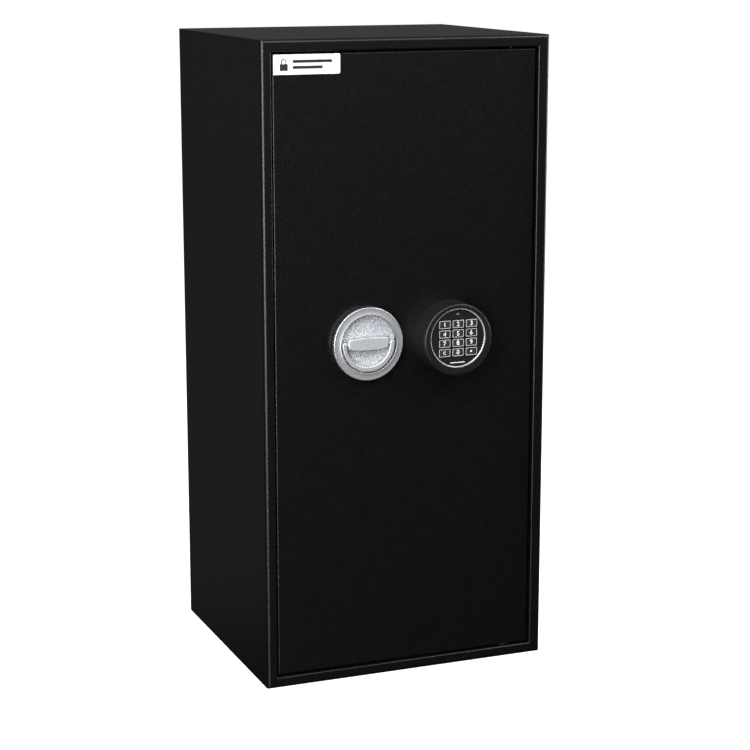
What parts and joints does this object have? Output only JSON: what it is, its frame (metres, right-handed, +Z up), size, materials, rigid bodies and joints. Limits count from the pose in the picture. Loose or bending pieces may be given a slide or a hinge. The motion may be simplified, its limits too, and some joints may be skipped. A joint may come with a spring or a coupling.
{
  "type": "gun safe",
  "caption": "Upright steel gun safe with a recessed hinged door, round turn handle with fold-out bail, electronic keypad, shelf and barrel rack.",
  "frame": {"origin": "centre of the footprint on the floor", "axes": "+Z up, the door faces -Y, +X is to the right seen from the front"},
  "size_m": [0.4, 0.383, 0.85],
  "materials": {
    "black_powder_coat": "satin",
    "grey_inner_paint": "satin",
    "zinc_plated_steel": "satin",
    "hardened_steel": "satin",
    "bronze_bush": "satin",
    "seal_rubber": "matte",
    "felt": "matte",
    "rack_plastic": "matte",
    "label_white": "gloss",
    "lock_alloy": "satin",
    "black_plastic": "satin",
    "trim_metal": "gloss",
    "keypad_face_plastic": "satin",
    "led_lens_plastic": "gloss",
    "circuit_board": "satin",
    "satin_alloy": "satin",
    "bolt_chrome": "polished",
    "battery_can": "satin",
    "key_plastic": "satin"
  },
  "bodies": {
    "cabinet": {"outer_shell": "black_powder_coat", "back_plate": "black_powder_coat", "door_jamb": "black_powder_coat", "door_stop": "black_powder_coat", "bolt_keepers": "grey_inner_paint", "hinge_bushes": "bronze_bush", "thrust_washer": "hardened_steel", "door_seal": "seal_rubber", "shelf_standards": "zinc_plated_steel", "upper_shelf": "grey_inner_paint", "shelf_clips": "zinc_plated_steel", "shelf_mat": "felt", "barrel_rack": "rack_plastic", "floor_mat": "felt"},
    "door": {"door_plate": "black_powder_coat", "door_label": "label_white", "door_channel": "black_powder_coat", "boltwork_cover": "black_powder_coat", "cover_screws": "zinc_plated_steel", "hard_plate": "hardened_steel", "hinge_blocks": "black_powder_coat", "hinge_pins": "hardened_steel", "guide_studs": "hardened_steel", "rod_guides": "zinc_plated_steel", "lock_case": "lock_alloy", "spindle_bush": "bronze_bush", "handle_escutcheon": "black_plastic", "keypad_base": "black_plastic", "keypad_housing": "black_plastic", "keypad_trim_ring": "trim_metal", "keypad_face": "keypad_face_plastic", "led_lens": "led_lens_plastic", "keypad_circuit_board": "circuit_board", "keypad_cable": "seal_rubber", "keypad_screws": "zinc_plated_steel"},
    "handle": {"handle_disc": "satin_alloy", "grip_bar": "satin_alloy", "spindle": "hardened_steel", "drive_pinion": "hardened_steel", "retaining_ring": "hardened_steel"},
    "bail": {"bail": "satin_alloy"},
    "bolt_carriage": {"bolt_carriage": "zinc_plated_steel", "locking_bolts": "bolt_chrome"},
    "top_rod": {"top_rod": "zinc_plated_steel"},
    "bottom_rod": {"bottom_rod": "zinc_plated_steel"},
    "lock_bolt": {"lock_bolt": "bronze_bush"},
    "battery_drawer": {"battery_drawer": "black_plastic", "battery_cells": "battery_can"},
    "key_0": {"key_0": "key_plastic"},
    "key_1": {"key_1": "key_plastic"},
    "key_2": {"key_2": "key_plastic"},
    "key_3": {"key_3": "key_plastic"},
    "key_4": {"key_4": "key_plastic"},
    "key_5": {"key_5": "key_plastic"},
    "key_6": {"key_6": "key_plastic"},
    "key_7": {"key_7": "key_plastic"},
    "key_8": {"key_8": "key_plastic"},
    "key_9": {"key_9": "key_plastic"},
    "key_clear": {"key_clear": "key_plastic"},
    "key_enter": {"key_enter": "key_plastic"}
  },
  "joints": [
    {"name": "door_swing", "type": "hinge", "parent": "cabinet", "child": "door", "pos_m": [0.1515, -0.159, 0], "axis": [0, 0, 1], "range_deg": [0, 100]},
    {"name": "handle_turn", "type": "hinge", "parent": "door", "child": "handle", "pos_m": [-0.0579, -0.172, 0.457], "axis": [0, 1, 0], "range_deg": [0, 90]},
    {"name": "bail_fold_out", "type": "hinge", "parent": "handle", "child": "bail", "pos_m": [-0.0579, -0.1785, 0.457], "axis": [-1, 0, 0], "range_deg": [0, 90]},
    {"name": "bolt_throw", "type": "slide", "parent": "door", "child": "bolt_carriage", "axis": [-1, 0, 0], "range_m": [0, 0.0177]},
    {"name": "top_rod_throw", "type": "slide", "parent": "door", "child": "top_rod", "axis": [0, 0, 1], "range_m": [0, 0.0177]},
    {"name": "bottom_rod_throw", "type": "slide", "parent": "door", "child": "bottom_rod", "axis": [0, 0, -1], "range_m": [0, 0.0177]},
    {"name": "lock_bolt_drop", "type": "slide", "parent": "door", "child": "lock_bolt", "axis": [0, 0, -1], "range_m": [0, 0.008]},
    {"name": "battery_drawer_slide", "type": "slide", "parent": "door", "child": "battery_drawer", "axis": [0, 0, -1], "range_m": [0, 0.05]},
    {"name": "key_0_press", "type": "slide", "parent": "door", "child": "key_0", "axis": [0, 1, 0], "range_m": [0, 0.001], "stiffness_N_per_m": 400},
    {"name": "key_1_press", "type": "slide", "parent": "door", "child": "key_1", "axis": [0, 1, 0], "range_m": [0, 0.001], "stiffness_N_per_m": 400},
    {"name": "key_2_press", "type": "slide", "parent": "door", "child": "key_2", "axis": [0, 1, 0], "range_m": [0, 0.001], "stiffness_N_per_m": 400},
    {"name": "key_3_press", "type": "slide", "parent": "door", "child": "key_3", "axis": [0, 1, 0], "range_m": [0, 0.001], "stiffness_N_per_m": 400},
    {"name": "key_4_press", "type": "slide", "parent": "door", "child": "key_4", "axis": [0, 1, 0], "range_m": [0, 0.001], "stiffness_N_per_m": 400},
    {"name": "key_5_press", "type": "slide", "parent": "door", "child": "key_5", "axis": [0, 1, 0], "range_m": [0, 0.001], "stiffness_N_per_m": 400},
    {"name": "key_6_press", "type": "slide", "parent": "door", "child": "key_6", "axis": [0, 1, 0], "range_m": [0, 0.001], "stiffness_N_per_m": 400},
    {"name": "key_7_press", "type": "slide", "parent": "door", "child": "key_7", "axis": [0, 1, 0], "range_m": [0, 0.001], "stiffness_N_per_m": 400},
    {"name": "key_8_press", "type": "slide", "parent": "door", "child": "key_8", "axis": [0, 1, 0], "range_m": [0, 0.001], "stiffness_N_per_m": 400},
    {"name": "key_9_press", "type": "slide", "parent": "door", "child": "key_9", "axis": [0, 1, 0], "range_m": [0, 0.001], "stiffness_N_per_m": 400},
    {"name": "key_clear_press", "type": "slide", "parent": "door", "child": "key_clear", "axis": [0, 1, 0], "range_m": [0, 0.001], "stiffness_N_per_m": 400},
    {"name": "key_enter_press", "type": "slide", "parent": "door", "child": "key_enter", "axis": [0, 1, 0], "range_m": [0, 0.001], "stiffness_N_per_m": 400}
  ],
  "couplings": [
    {"joint": "bolt_throw", "follows": "handle_turn", "m_per_rad": 0.01125},
    {"joint": "top_rod_throw", "follows": "handle_turn", "m_per_rad": 0.01125},
    {"joint": "bottom_rod_throw", "follows": "handle_turn", "m_per_rad": 0.01125}
  ]
}
